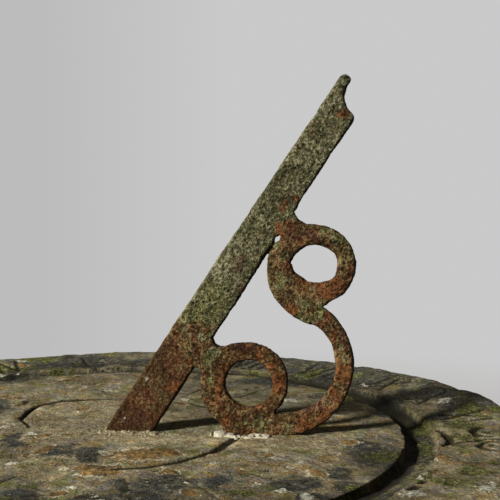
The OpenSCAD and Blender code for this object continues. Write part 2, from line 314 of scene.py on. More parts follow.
def sector_angles():
    """Closer together at the noon flower and, less so, at the numerals."""
    t = np.linspace(-pi, pi, 7201)
    crowd = 1 + 0.9 * np.exp(-(t / 0.15) ** 4)
    for h in HOURS:
        crowd += 0.3 * hump(t, hour_angle(h), 0.07)
    run = np.concatenate([[0], np.cumsum((crowd[1:] + crowd[:-1]) / 2)])
    return np.interp(np.arange(SECTORS) / SECTORS * run[-1], run, t)


def slab_rows():
    """The turned section from the middle of the face round to the dowel hole.

    A row is how coarse it is (each step has half the sectors), radius, height and its share of flat face.
    """
    rows = []

    def rings(coarse, radii, heights=TOP, flat=0):
        rows.extend((coarse, r, z, flat) for r, z in np.broadcast(radii, heights))

    def bend(coarse, r, z, across, up, degrees):
        rows.extend((coarse, r + across * sin(a), z + up * cos(a), 0) for a in np.radians(degrees))

    for coarse, *run in ((3, 1.8, 35, 1.8), (2, 36, 46, 1.6), (1, 46.8, 66, 1.1)):
        rings(coarse, np.arange(*run), flat=1)
    rings(1, HUB_R + np.array((-5.4, -4.2, -3.4, -2.6, -1.8, -1, -0.3, 0.3, 1, 1.8, 2.6, 3.4, 4.4)), flat=1)
    for run in ((77.8, 96, 1.45), (96.4, 149.5, 1.95)):
        rings(1, np.arange(*run), flat=1)
    rings(0, (150.6, 152.2, 153.6, 154.7), flat=1)
    # The ring groove: its steep inner wall, its floor and its hollow outer wall
    out = np.array((-0.6, -0.1, 0.1, 0.2, 0.3, 0.5, 1.2, 2.6, 4.4, 6.2))
    rings(0, RING_IN + out, TOP - np.array((0.1, 0.7, 2, 3.7, 5.4, 6.9, 7.8, *[RING_DEPTH] * 3)))
    bend(0, BAND_IN - RING_DEPTH, TOP, RING_DEPTH, -RING_DEPTH, (6, 20, 34, 48, 61, 73, 83))
    rings(0, BAND_IN + 0.3, TOP - 0.3, 0.5)
    rings(0, np.arange(172.2, 218.5, 1.12), flat=1)
    # The arris, the upright band, the hollow moulding and the foot
    rings(0, RIM - ARRIS_R - 0.4, TOP - 0.05)
    bend(0, RIM - ARRIS_R, TOP - ARRIS_R, ARRIS_R, ARRIS_R, (12, 28, 45, 62, 80))
    rings(1, RIM, np.arange(56, 33, -2.7))
    cove_top = TOP - FASCIA_H
    rings(1, RIM - np.array((0.3, 1.4, 2.7)), cove_top + np.array((0.4, 0, -0.1)))
    cove_r = cove_top - FOOT_BAND_H
    bend(1, RIM - EDGE_STEP, FOOT_BAND_H, -cove_r, cove_r, np.arange(7, 89, 7.3))
    foot_r = RIM - EDGE_STEP - cove_r
    rings(1, foot_r, (7.6, 5, 2.6, 0.7))
    rings(1, foot_r - 0.8, 0)
    # The underside and the dowel hole
    rings(2, np.arange(190, 45, -24), 0)
    rings(3, (34, 24, 16, 11, DOWEL_R + 0.6), 0)
    rings(3, DOWEL_R, (0.5, 5, 10, 15, 20, 25, DOWEL_DEPTH - 0.4))
    rings(3, (DOWEL_R - 0.6, DOWEL_R / 2), DOWEL_DEPTH)
    return rows


def stitch(starts, levels, first, last):
    """Faces between the rows, and a fan at each end."""
    faces = []
    for sa, sb, la, lb in zip(starts, starts[1:], levels, levels[1:]):
        i = np.arange(SECTORS >> max(la, lb))
        j = (i + 1) % len(i)
        even, odd = 2 * i, 2 * i + 1
        if la == lb:
            sets = [(sa + i, sb + i, sb + j, sa + j)]
        elif la > lb:
            sets = [(sa + i, sb + even, sb + odd), (sa + i, sb + odd, sa + j), (sa + j, sb + odd, sb + 2 * j)]
        else:
            sets = [(sa + even, sb + i, sa + odd), (sa + odd, sb + i, sb + j), (sa + odd, sb + j, sa + 2 * j)]
        for s in sets:
            faces += np.stack(s, 1).tolist()
    n = SECTORS >> levels[0]
    faces += [(first, starts[0] + k, starts[0] + (k + 1) % n) for k in range(n)]
    n = SECTORS >> levels[-1]
    faces += [(starts[-1] + k, last, starts[-1] + (k + 1) % n) for k in range(n)]
    return faces


def slab_grid(rows):
    """Radius, angle, height, normal and share of flat face of every point, and where each row starts."""
    section = np.array([row[1:3] for row in rows])
    slope = np.gradient(section, axis=0)
    slope /= np.linalg.norm(slope, axis=1)[:, None]
    theta = sector_angles()
    parts, starts, total = [], [], 0
    for (coarse, r, z, flat), (sr, sz) in zip(rows, slope):
        t = theta[:: 1 << coarse]
        starts.append(total)
        total += len(t)
        parts.append(np.stack(np.broadcast_arrays(r, t, z, -sz, sr, flat), 1))
    parts.append(np.array([[0, 0, TOP, 0, 1, 1], [0, 0, DOWEL_DEPTH, 0, -1, 0]]))
    return np.concatenate(parts).T, starts, total


# The stone's wear

# How much the worn rim stands above or below the level, by the angle in degrees
RIM_RISE = np.array([
    (-180, 0), (5, 0), (14, 1.6), (24, 2.9), (34, 2.6), (44, 1.8), (54, 1), (64, 0.5), (75, 0.8), (88, 0.9),
    (98, 1.5), (107, 1.5), (116, 1), (125, 2.5), (134, 2), (150, 0.4), (180, 0)]).T
# The middle and half the length of the iron's foot along X
FOOT_X, FOOT_HALF = 40, 48
# A thick flake on the face: its middle and how far it reaches
FLAKE, FLAKE_R = (-77, 61), 11.5


def worn(p, r, turn, flat, pits, dots):
    """How far the stone's skin stands out."""
    x, y, z = p.T
    # The face stays level round the iron's foot
    foot = np.hypot(np.maximum(np.abs(x - FOOT_X) - FOOT_HALF, 0), y)
    free = smooth(foot, 7, 22)
    upper = smooth(z, 40, 58)
    swell = 0.5 * noise(p, 58, 1) + 0.35 * noise(p, 21, 2) + 0.3 * noise(p, 8, 3) - 0.15
    d = free * swell + 0.2 * noise(p, 3.6, 4) * (0.4 + 0.6 * free)
    spalls = bowls(p, 47, 13, 0.3, 0.5)
    d -= 0.6 * pits * free + 0.25 * dots + free * 0.7 * smooth(spalls, 0, 0.25)
    # The rim is chipped and has lost some of its level
    rim = smooth(r, RIM - 11, RIM - 4) * smooth(z, 20, 40)
    chips = bowls(p, 19, 14, 0.4, 0.5) + 0.5 * bowls(p, 7, 15, 0.45, 0.5)
    rise = np.interp(turn, *RIM_RISE)
    d -= rim * ((0.9 - 0.25 * rise) * chips + 0.1 + 0.25 * noise(p, 9, 16))
    d += rise * smooth(r, 176, 216) * upper
    # The ring groove's edges have broken away
    lip = hump(r, RING_IN, 1.6) + 0.7 * hump(r, BAND_IN, 1.8)
    d -= lip * upper * np.clip(0.7 * noise(p, 9, 17) + 0.5 * noise(p, 3.5, 18) + 0.35, 0, 1.5)
    flake = np.hypot(x - FLAKE[0], y - FLAKE[1])
    d += 0.7 * smooth(FLAKE_R - flake + 0.8 * noise(p, 4, 19), 0, 1.6) * smooth(x, -86, -74) * flat
    past = r - RING_IN
    d -= 0.9 * smooth(past, -1, -0.2) * (1 - smooth(past, 1, 2)) * upper
    # The side is a little inside the solid, and the underside and the dowel hole keep their size
    low = z < 40
    hole = (r < DOWEL_R + 1) & low
    d = np.where(low, d - 0.4, d)
    d = np.where((z < 1) | hole, np.minimum(0.5 * d, 0), d)
    return np.where(hole, 0.1 * d, d)


def banked(p, r, turn, z, flat):
    """How high the dirt in the ring groove reaches, and how thick moss lies against its outer side."""
    bank = smooth(r, RING_IN + 3, RING_IN + 6.5) * (1 - smooth(r, BAND_IN - 4, BAND_IN))
    bank = bank * smooth(z, 45, 50) * (1 - flat) * (2.9 + 0.7 * noise(p, 7, 26) + 0.4 * noise(p, 2.5, 27))
    silted = smooth(-turn, 4, 16) * (1 - smooth(-turn, 110, 140))
    silt = (3.0 + 2.8 * smooth(r, RING_IN + 2, BAND_IN - 3)) * silted + 0.5 * noise(p, 6, 28)
    in_ring = (r > RING_IN - 1) & (r < BAND_IN) & (z > 50) & (flat == 0)
    return np.where(in_ring, TOP - RING_DEPTH + silt, 0), bank


# What grows on the stone, read off: X, Y, and half the size each way
ORANGE = [
    (29, -42, 19.5, 12.5), (8, -67, 13, 10.5), (-28, 43, 4.5, 8), (-77, 69, 7.5, 7.5), (-58, 4, 3.5, 10),
    (-30, -11, 4, 5), (-31, -47, 4, 5), (-25, -36, 6, 7), (44, -69, 4, 6.5), (60, -95, 6.5, 5.5),
    (2, -105, 4.5, 5), (-57, 121, 4.5, 6), (-24, 119, 6.5, 4.5), (128, -17, 7.5, 4.5),
    (89, -40, 3.5, 3.5), (110, -65, 5, 6.5), (171, -37, 4, 9), (76, -64, 3.5, 5.5), (56, -39, 5, 3.5),
    (29, 63, 4.5, 5)]
GREEN = [
    (78, -96, 6, 5), (-75, 154, 4.5, 8.5), (-66, 158, 2, 12), (142, -37, 7, 7.5), (164, -6, 3, 22.5),
    (194, 56, 8.5, 12), (100, 153, 9, 13), (59, 150, 6.5, 13), (128, 87, 12.5, 13), (185, 4, 11, 6),
    (128, -92, 3.5, 9), (-52, 211, 5.5, 10), (-107, 196, 22.5, 13.5), (166, 29, 9.5, 16),
    (-8, 185, 7, 11), (188, 28, 10, 8), (159, -69, 5, 6), (172, -76, 7, 6), (184, -57, 6, 7)]
SLATE = [
    (1, -43, 7, 10), (-14, -38, 7, 8), (39, -89, 14.5, 13.5), (-15, -103, 9, 9), (69, -80, 5.5, 10),
    (138, -32, 13.5, 19.5), (104, -84, 9, 10.5), (120, -65, 6.5, 7.5), (-43, -26, 7.5, 5.5),
    (176, 46, 5.5, 11.5), (-71, 188, 54.5, 18.5), (127, 143, 46, 23.5), (-50, 179, 7, 14.5),
    (177, 98, 23, 16.5), (76, 126, 19.5, 12), (29, 142, 8.5, 13), (139, 84, 30, 9), (-49, -19, 4.5, 7.5),
    (114, -100, 8.5, 4), (123, -85, 6, 7), (192, 64, 22, 16), (150, 58, 8, 14)]
WHITE = [
    (-33, -61, 3, 4), (-40, -9, 3.5, 4), (5, -95, 3, 2), (54, -83, 1, 3), (31, -98, 1, 2.5),
    (19, -105, 1.5, 2.5), (-27, 152, 6, 3.5), (-42, 103, 2, 7), (118, -28, 1, 1.5), (121, -34, 2.5, 2.5),
    (104, -50, 2, 2.5), (97, -91, 3, 3.5), (108, -98, 3.5, 4.5), (153, -90, 5.5, 6), (186, -84, 4.5, 7),
    (189, -76, 1.5, 3.5), (183, 75, 4.5, 5), (75, 182, 3.5, 7), (90, 77, 7, 5), (28, 74, 3, 4),
    (28, -69, 2.5, 2), (3, -77, 2, 3.5), (136, 122, 2.5, 4.5), (62, -54, 3.5, 2.5), (-25, 94, 4, 3),
    (-59, 5, 3.5, 3), (85, -83, 2.5, 3), (157.6, -68.5, 1.5, 3), (160.6, -63, 1.5, 3.5)]
# Bare stretches with little growing on them
CALM = [(-22, 14, 42, 48), (20, -14, 46, 14), (40, 36, 40, 20), (96, -21, 28, 12)]
# Broad stretches that are lighter or darker than the rest: X, Y, half the size each way, how much
TONES = [
    (-28, -72, 26, 12, 0.3), (-45, -28, 14, 14, 0.2), (41, -17, 40, 12, 0.46), (79, -42, 16, 6, 0.1),
    (140, -50, 12, 26, -0.4), (117, -48, 14, 14, -0.2), (166, -70, 16, 14, -0.32), (188, -72, 12, 22, -0.36),
    (182, -46, 18, 10, -0.12), (203, 45, 14, 16, -0.3), (187, 3, 18, 14, 0.5), (155, -94, 12, 8, -0.4),
    (-12, 108, 34, 36, -0.16), (24, 111, 12, 22, -0.3), (60, 113, 20, 18, -0.25), (150, 102, 26, 24, -0.25),
    (134, 62, 14, 16, -0.3), (146, 72, 14, 20, -0.4), (172, 88, 22, 14, -0.25), (177, 66, 16, 14, -0.25),
    (112, -95, 10, 8, -0.2), (166, 56, 8, 7, -0.28), (161, -58, 6, 12, -0.18)]


def strewn(count, low, high):
    """More patches of the same kind all over the stone, away from the part that was read off."""
    rows = []
    while len(rows) < count:
        r, t = RIM * sqrt(rng.random()), 2 * pi * rng.random()
        x, y = r * cos(t), r * sin(t)
        if y > -108 and -90 < x < 205:
            continue
        size = low + (high - low) * rng.random() ** 2
        rows.append((x, y, size, size * rng.uniform(0.7, 1.3)))
    return rows


def grown(p, r, turn, d, deep, pits, dots):
    """Where lichen, algae and dirt lie, and where shade and light are painted on."""
    x, y, z = p.T
    wx = x + 4.5 * noise(p, 12, 41) + 2 * noise(p, 4.4, 42)
    wy = y + 4.5 * noise(p, 12, 43) + 2 * noise(p, 4.4, 44)
    past = r - RING_IN
    edge = smooth(past, -0.3, 1)
    # The groove's floor near its inner wall, where shade is painted on
    groove = edge * (1 - smooth(past, 2, 9))
    hollow = edge * (1 - smooth(r, BAND_IN - 3, BAND_IN + 2)) * smooth(z, 40, 50)
    outer = smooth(r, BAND_IN - 1, BAND_IN + 5)
    far, right = smooth(y, 40, 175), smooth(x, 60, 150)
    orange = patches(wx, wy, ORANGE + strewn(60, 3, 15))
    green = patches(wx, wy, GREEN + strewn(45, 5, 17), 1.15)
    slate = patches(wx, wy, SLATE + strewn(50, 6, 26), 1.15)
    fx, fy = x + 1.2 * noise(p, 3.2, 45), y + 1.2 * noise(p, 3.2, 46)
    white = np.where(hollow > 0.3, -1, patches(fx, fy, WHITE + strewn(90, 1, 5)))
    # Slate and green lie everywhere to some extent: more in the groove and on the far and right sides
    film = -0.95 + 0.3 * outer + 0.35 * far + 0.35 * far * outer + 0.25 * right * smooth(y, 25, 60)
    film += 1.1 * hollow + 0.35 * (z < 50) + 0.14 * smooth(y, 50, 90) * smooth(x, 0, 40)
    algae = -0.9 + 0.95 * hollow + 0.25 * far + 0.35 * outer + 0.25 * outer * right
    # The sunlit part of the groove's outer bank gets a painted shadow, partly standing for dirt
    painted_bank_shadow = hollow * smooth(past, 1, 7) * smooth(turn, 9, 20) * (1 - smooth(turn, 80, 130))
    # Dark in pits, cuts and hollows as painted shade with some dirt, and on the sunlit bank as painted shadow
    cavity = 0.6 * pits + 0.45 * dots + deep / 0.9 + 0.15 * hollow + 0.95 * painted_bank_shadow
    cavity += 0.9 * groove * smooth(TOP - z, 2, 7)
    tone = np.ones(len(x))
    for cx, cy, a, b, much in TONES:
        tone += much * np.exp(-(((wx - cx) / a) ** 2 + ((wy - cy) / b) ** 2) ** 1.5) * (z > 45)
    # relief makes raised skin lighter and hollows darker, as painted light and shade
    return {"orange": orange, "green": np.maximum(green, algae), "slate": np.maximum(slate, film),
            "white": white, "cavity": np.clip(cavity, 0, 1), "relief": np.clip(0.5 + 1.1 * d, 0, 1),
            "tone": tone, "calm": smooth(patches(wx, wy, CALM), 0, 0.4) * (z > 45)}


def make_slab(look):
    rows = slab_rows()
    (r, t, z, nr, nz, flat), starts, total = slab_grid(rows)
    turn = np.degrees(t)
    p = np.stack([r * np.cos(t), r * np.sin(t), z], 1)
    pits = bowls(p, 5.2, 11, 0.45, 0.4)
    dots = bowls(p, 3.1, 12, 0.5, 0.45)
    d = worn(p, r, turn, flat, pits, dots)
    crust = 0.4 * smooth(patches(p[:, 0], p[:, 1], WHITE + ORANGE, 1.05) + 0.4 * noise(p, 3, 24), 0, 0.3)
    d += crust * flat * (0.6 + 0.6 * noise(p, 1.7, 25))
    deep = flat * np.maximum(carved(p), hub_groove(p, r, turn))
    dirt, bank = banked(p, r, turn, z, flat)
    out = np.minimum(r + nr * d, RIM - 0.02)
    up = np.maximum(np.maximum(z + nz * d - deep + bank, 0), dirt)
    points = np.stack([out * np.cos(t), out * np.sin(t), up], 1)
    faces = stitch(starts, [row[0] for row in rows], total, total + 1)
    fields = grown(p, r, turn, d, deep, pits, dots)
    new_piece("stone_top", points, faces, fields, "dial_slab", look)


# The wrought iron

# Bright, purple and mossy rust, read off: X, height above the dial, and half the size each way
WARM = [
    (123, 35, 2.5, 7), (86.5, 38, 3.5, 3), (89, 26, 3, 8), (63, 31, 2, 7), (106, 5, 4, 3), (59, 26, 2, 10),
    (82, 42, 2, 2.5), (91, 26, 4, 7.5), (79, 14, 2.5, 2.5), (104, 6, 5.5, 4.5), (114, 11, 3.5, 4.5),
    (120, 21, 3, 5), (127, 28, 1.5, 7), (119, 51, 1.5, 3), (116, 63, 2.5, 2), (114, 75, 5.5, 3.5),
    (120, 80, 4, 4.5), (103, 80, 4, 3.5), (96, 66, 5.5, 4), (92, 107, 4.5, 5), (124, 163, 3.5, 3),
    (99, 123, 2.5, 3.5), (101, 148, 1, 2), (43, 39, 2.5, 3), (33, 25, 3, 3.5), (93, 118, 3, 3.5),
    (63, 6, 2.5, 4)]
PURPLE = [
    (79, 12, 3, 2), (123, 51, 2, 4), (114, 18, 2.5, 3.5), (92, 69, 2.5, 2.5), (107, 14, 6, 3.5),
    (124, 53, 2, 3), (106, 103, 4.5, 2.5), (79, 45, 2, 2.5), (70, 79, 2.5, 4), (15, 7, 8.5, 3.5),
    (97, 104, 2.5, 3.5), (71, 46, 4.5, 2.5), (119, 21, 3, 2.5), (71, 90, 4, 4.5)]
MOSS = [
    (56, 42, 5.5, 3.5), (53, 28, 2, 8), (89, 83, 5.5, 12.5), (121, 97, 7, 11), (104, 64, 10.5, 6.5),
    (123, 42, 2, 8), (112, 107, 6, 3), (85, 39, 2, 3), (78, 4, 5, 4), (94, 4, 3.5, 3), (56, 51, 2.5, 4),
    (48, 62, 9, 6), (58, 72, 7, 5)]
SPECKS = [(21, 29, 1, 1.3), (18, 31, 0.9, 0.9), (9, 8, 1.1, 0.8)]
# Lighter and darker stretches of the scroll: X, height, half the size each way, how much
CASTS = [
    (110, 106, 9, 4, 0.14), (124, 33, 4, 10, 0.12), (72, 47, 9, 3.5, -0.16), (67, 5, 10, 5, -0.1),
    (58, 13, 4, 5, 0.08), (88, 30, 4, 6, -0.06), (122, 92, 5, 6, 0.06), (97, 103, 7, 5, 0.14),
    (118, 77, 7, 7, 0.1), (77, 41, 5, 5, -0.13), (120, 13, 7, 9, 0.18), (91, 16, 4, 4, 0.1),
    (90, 93, 5, 6, 0.12), (117, 101, 5, 5, 0.08), (58, 36, 5, 6, -0.14), (66, 42, 5, 4, -0.1),
    (69, 6, 6, 4, -0.06)]
# How far the blade's left and right narrow sides stand out or back, by the way along it
SIDES = np.array([
    (0, 1.15, -0.3), (45, 1.15, -0.3), (60, 0.85, -0.4), (80, 0.8, -0.5), (95, 0.9, -0.1), (113, 0.9, 0),
    (121, 0.5, 0), (128, 0.35, 0), (138, 0, 0), (155, 0, -0.4), (160, 0, -0.7), (170, 0, -0.6),
    (176, 0, -0.5), (190, -0.1, -0.5), (205, -0.65, 0), (222, -0.6, 0)]).T
# Where the scroll's outline leaves its even curves: X, height, half the size each way, how far in,
# and which way that side faces, or 0, 0 for any side
BITES = [
    (86.5, 10.8, 3.5, 2.5, 0.9, 0, 0), (118, 69.5, 3.5, 3, 0.9, 0, 0), (107, 57.5, 6, 5, -0.8, -0.6, -0.8)]
# The slit left in the upper weld: its place along and across the blade, and half the size each way
SLIT = (135.7, 19.4, 1.8, 2.1)
# The upper curl's eye: its middle and half its size each way, then how far its wall stands in or out:
# angle, breadth, how much
EYE, EYE_HALF = (108.67, 89.3), (12.0, 10.0)
BULGES = [(-140, 20, 0.9), (138, 22, 0.5), (28, 22, -0.75), (-38, 20, -0.9), (178, 9, -0.7)]
# A place this far across lies on the scroll, not on the blade
BLADE_SIDE = 21


def on_blade(x, z):
    """How far along and across the blade a place by X and height is."""
    return (x - TOE[0]) * ALONG[0] + z * ALONG[1], (x - TOE[0]) * ACROSS[0] + z * ACROSS[1]


def swollen(p, normals):
    """How far the blade's skin moves out at its narrow sides."""
    along = on_blade(p[:, 0], p[:, 2] - TOP)[0]
    facing = normals[:, 0] * ACROSS[0] + normals[:, 2] * ACROSS[1]
    left, right = (np.interp(along, SIDES[0], out) for out in SIDES[1:])
    return smooth(-facing, 0.2, 0.8) * left + smooth(facing, 0.2, 0.8) * right


def eye_wall(x, z):
    """How far the wall of the upper eye moves, to draw the eye out to a point on its left."""
    x, z = x - EYE[0], z - EYE[1]
    inside = np.hypot(x / EYE_HALF[0], z / EYE_HALF[1])
    wall = (1 - smooth(inside, 1.05, 1.2)) * (inside > 0.8)
    turn = np.degrees(np.arctan2(z, x))
    return sum(wall * much * hump(turn, at, breadth) for at, breadth, much in BULGES)


def rusted(p, normals, proud=0.0):
    """Iron skin eaten by rust, where its colours lie, and where shade and light are painted on."""
    x, z = p[:, 0], p[:, 2] - TOP
    pits = bowls(p, 2.5, 51, 0.65, 0.5)
    small = bowls(p, 1.5, 52, 0.7, 0.55)
    big = bowls(p, 7.5, 53, 0.4, 0.45)
    fine, rough = noise(p, 1.4, 54), 0.2 * noise(p, 3.1, 55) + 0.26 * noise(p, 8, 56)
    along, across = on_blade(x, z)
    seam = hump(across, 18.6, 1.3) * smooth(along, 112, 119) * (1 - smooth(along, 134, 138))
    d = 0.4 + proud + 0.2 * fine + rough - 0.45 * pits - 0.22 * small - 0.4 * big + eye_wall(x, z)
    d -= 1.25 * mound(along, across, *SLIT) + 0.5 * seam
    for *place, much, fx, fz in BITES:
        facing = smooth(normals[:, 0] * fx + normals[:, 2] * fz, 0.2, 0.8) if fx or fz else 1
        d -= much * mound(x, z, *place) * facing
    # The iron in the stone stays as it is
    d *= smooth(z, -6, 1)
    wx = x + 2.4 * noise(p, 7, 61) + 1.4 * noise(p, 2.6, 62)
    wz = z + 2.4 * noise(p, 7, 63) + 1.4 * noise(p, 2.6, 64)
    s, t = on_blade(wx, wz)
    on_it = t < BLADE_SIDE
    moss = patches(wx, wz, MOSS, 1.2)
    rust = np.where(on_it, 1 - 2 * smooth(s - 0.15 * t, 54, 92), 0.75)
    rust = np.where(moss > -0.5, np.minimum(rust, 0.55 - 0.5 * smooth(moss, -0.4, 0.7)), rust)
    # Painted light and shade by relief: pits darker and crests lighter, with broad lighter and darker
    # stretches along the iron
    relief = 0.66 + 0.2 * fine + 0.35 * rough - 0.36 * pits - 0.26 * small
    right_half = smooth(t, 6, 13)
    relief += 0.12 * hump(s, 103, 22) * (1 - right_half) - 0.14 * hump(s, 152, 21)
    relief -= 0.07 * smooth(s, 195, 205) + 0.12 * (1 - smooth(s, 18, 45)) * on_it
    relief -= right_half * on_it * (0.1 * hump(s, 114, 13) + 0.12 * smooth(s, 165, 222))
    for *place, much in CASTS:
        relief += much * mound(x, z, *place)
    # Sides facing right, away from the sun, and the seam get painted shade
    shaded_right_side = smooth(0.83 * normals[:, 0] - 0.55 * normals[:, 2], 0.08, 0.7)
    fields = {"rust": rust, "warm": patches(wx, wz, WARM, 1.1), "purple": patches(wx, wz, PURPLE, 1.1),
              "moss": moss, "speck": patches(x, z, SPECKS), "relief": np.clip(relief, 0, 1),
              "edge": np.maximum(shaded_right_side, seam)}
    return p + normals * d[:, None], fields


def make_iron(node, name, look):
    points, faces, normals = remeshed(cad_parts[node].data.copy(), 0.42, 26)
    moved, fields = rusted(points, normals, swollen(points, normals) if node == "gnomon_style" else 0.0)
    highest = cad_bounds[1][2] / MM - 0.02
    moved[:, 2] = np.minimum(moved[:, 2], highest)
    new_piece(name, moved, faces, fields, node, look)


def blade_w(s):
    return BLADE_FOOT_W + (BLADE_TIP_W - BLADE_FOOT_W) * s / BLADE_LEN


def web_outline(centre, r, low, high, into, hollows):
    """The outline of a weld's web between the blade and a curl, run a little into both.

    It goes from one place along the blade to another, both counted from the curl's centre.
    """
    cs, ct = (centre - TOE) @ ALONG, (centre - TOE) @ ACROSS
    below, above = cs + low, cs + high

    def rim(s, out):
        return ct - sqrt(max((r - out) ** 2 - (s - cs) ** 2, 1))

    def free_edge(a, b, hollow):
        a, b = np.array(a), np.array(b)
        mid = (a + b) / 2 + np.array([hollow, 0])
        return [tuple((1 - k) ** 2 * a + 2 * k * (1 - k) * mid + k * k * b) for k in np.linspace(0, 1, 8)]

    line = [(below, blade_w(below) - into), (above, blade_w(above) - into)]
    line += free_edge((above, blade_w(above) - 0.2), (above, rim(above, 0.2)), hollows[1])
    line += [(s, rim(s, into)) for s in np.linspace(above, below, 9)]
    line += free_edge((below, rim(below, 0.2)), (below, blade_w(below) - 0.2), hollows[0])
    return [TOE + s * ALONG + t * ACROSS for s, t in line]


def web_mesh(outlines, thicks):
    points, faces = [], []
    for line, thick in zip(outlines, thicks):
        n, start = len(line), len(points)
        for side in (-1, 1):
            points += [(q[0] * MM, side * thick / 2 * MM, (q[1] + TOP) * MM) for q in line]
        faces += [list(range(start, start + n)), list(range(start + 2 * n - 1, start + n - 1, -1))]
        faces += [[start + k, start + n + k, start + n + (k + 1) % n, start + (k + 1) % n] for k in range(n)]
    mesh = bpy.data.meshes.new("web")
    mesh.from_pydata(points, [], faces)
    return mesh


def make_weld(node, name, outlines, thicks, look):
    points, faces, normals = remeshed(web_mesh(outlines, thicks), 0.38, 3)
    moved, fields = rusted(points, normals, 0.05)
    new_piece(name, moved, faces, fields, node, look)


# Mortar: crumbly heaps on the stone, each a grid of heights with a flat underside

# The grid's step, the lowest its top may lie, and how deep its underside is
HEAP_STEP, HEAP_LOW, HEAP_BASE = 0.42, -0.35, -0.6
# The room left for the iron: half its thickness, and where the blade and the bar stand along X
GAP_HALF, BLADE_GAP, BAR_GAP = 1.9, (-0.6, 22.4), (61.3, 120)
# How square a lump's outline is: 2 would be round
SQUARE = 3.4
# Lumps at the scroll's foot: X, Y, half the length, half the width, height
INNER_LUMPS = [
    (59.5, -4.2, 3, 3.8, 2.2), (55, -3.4, 0.5, 3.2, 1.5), (62.6, -4.6, 4.6, 3.1, 1.1),
    (69.4, -5.6, 0.9, 0.7, 0.5), (67.4, -6.6, 1.1, 0.8, 0.6), (68.6, -9.2, 0.9, 0.7, 0.7),
    (71.6, -7.6, 0.8, 0.6, 0.6), (64, 4.2, 4.5, 1.8, 1.4)]
OUTER_LUMPS = [(80.2, -5.6, 5.4, 3.6, 1.05), (75, -8.8, 2.2, 1.1, 0.8), (80, 4.2, 4.5, 1.6, 1.3)]
# Two small holes in the outer lump: X, Y, radius
OUTER_HOLES = [(78.3, -6.8, 1.1), (81.7, -6.6, 1.1)]


def make_heap(node, name, box, height, gap, look):
    x0, x1, y0, y1 = box
    xs, ys = np.arange(x0, x1 + HEAP_STEP, HEAP_STEP), np.arange(y0, y1 + HEAP_STEP, HEAP_STEP)
    x, y = (g.ravel() for g in np.meshgrid(xs, ys, indexing="ij"))
    p = np.stack([x, y, np.full(len(x), TOP)], 1)
    h = height(x, y, p)
    h = np.maximum(np.where(gap(x, y, h), HEAP_LOW, h), HEAP_LOW)
    keep = (h > HEAP_LOW + 0.01).reshape(len(xs), len(ys))
    i, j = np.nonzero(keep[:-1, :-1] | keep[1:, :-1] | keep[:-1, 1:] | keep[1:, 1:])
    index = np.arange(len(x)).reshape(len(xs), len(ys))
    quads = np.stack([index[i, j], index[i + 1, j], index[i + 1, j + 1], index[i, j + 1]], 1)
    below = len(x)
    faces = quads.tolist() + (quads[:, (0, 3, 2, 1)] + below).tolist()
    edges = dict.fromkeys((q[k], q[(k + 1) % 4]) for q in quads.tolist() for k in range(4))
    faces += [[v, u, u + below, v + below] for u, v in edges if (v, u) not in edges]
    used = sorted({v for f in faces for v in f})
    renumbered = {v: k for k, v in enumerate(used)}
    faces = [[renumbered[v] for v in f] for f in faces]
    points = np.concatenate([np.stack([x, y, TOP + up], 1) for up in (h, np.full(len(x), HEAP_BASE))])
    near, who = cells(p, 1.5, 71)
    fields = {"grain": np.tile(np.clip(1 - near, 0, 1), 2)[used], "tone": np.tile(who, 2)[used]}
    new_piece(name, points[used], faces, fields, node, look)


def grains(p, size, seed, share):
    """Round grains from 0 to 1 high in that share of the cells."""
    near, who = cells(p, size, seed)
    r = 0.62 * (0.6 + 0.4 * who)
    return np.where(who < share, np.sqrt(np.clip(1 - (near / r) ** 2, 0, 1)) * (0.5 + 0.5 * who / share), 0)


def style_heap(x, y, p):
    """A thin crumbly crust round the blade's foot, with loose grains towards the viewer."""
    away = np.hypot(np.maximum(np.abs(x - 10.9) - 11.6, 0), np.maximum(np.abs(y) - 2.3, 0))
    reach = 3.4 + 1.2 * noise(p, 4, 72) + 1.6 * (y < 0)
    near = np.clip(1 - away / reach, -0.4, 1)
    crust = 1.5 * near + 0.35 * noise(p, 1.3, 73) - 0.1
    loose = smooth(1 - away / 13, 0, 0.5) * (y < 0)
    coarse = 1.1 * grains(p, 1.9, 71, 0.75) * smooth(near, -0.15, 0.3)
    small = 0.9 * grains(p, 1.5, 75, 0.5) * loose
    h = np.maximum(np.where(near > 0, crust * 0.7, -0.5) + coarse, small - 0.12)
    return np.where(h < 0.06, -0.5, h)


def lump(parts, seed, holes=()):
    """Flat lumps of mortar with small round holes."""
    def height(x, y, p):
        h = np.full(len(x), -0.5)
        jog_x, jog_y = 0.5 * noise(p, 3, seed), 0.5 * noise(p, 3, seed + 1)
        bumps = 0.17 * noise(p, 1.8, seed + 3) + 0.1 * noise(p, 0.9, seed + 4)
        for cx, cy, a, b, high in parts:
            u, v = np.abs((x - cx + jog_x) / a), np.abs((y - cy + jog_y) / b)
            e = (u ** SQUARE + v ** SQUARE) ** (1 / SQUARE)
            body = high * np.clip(1.05 - e, 0, 1) ** 0.16 + bumps
            h = np.maximum(h, np.where(e < 1.04, body, -0.5))
        for cx, cy, r in holes:
            h = np.where(np.hypot(x - cx, (y - cy) * 0.6) < r, np.minimum(h, 0.02), h)
        return h
    return height


def under_blade(x, y, h):
    lean = np.clip(h, 0, 5) / tan(LATITUDE)
    return (np.abs(y) < GAP_HALF) & (x > BLADE_GAP[0] + lean) & (x < BLADE_GAP[1] + lean)


def under_bar(x, y, h):
    return (np.abs(y) < GAP_HALF) & (x > BAR_GAP[0]) & (x < BAR_GAP[1])


# Looks

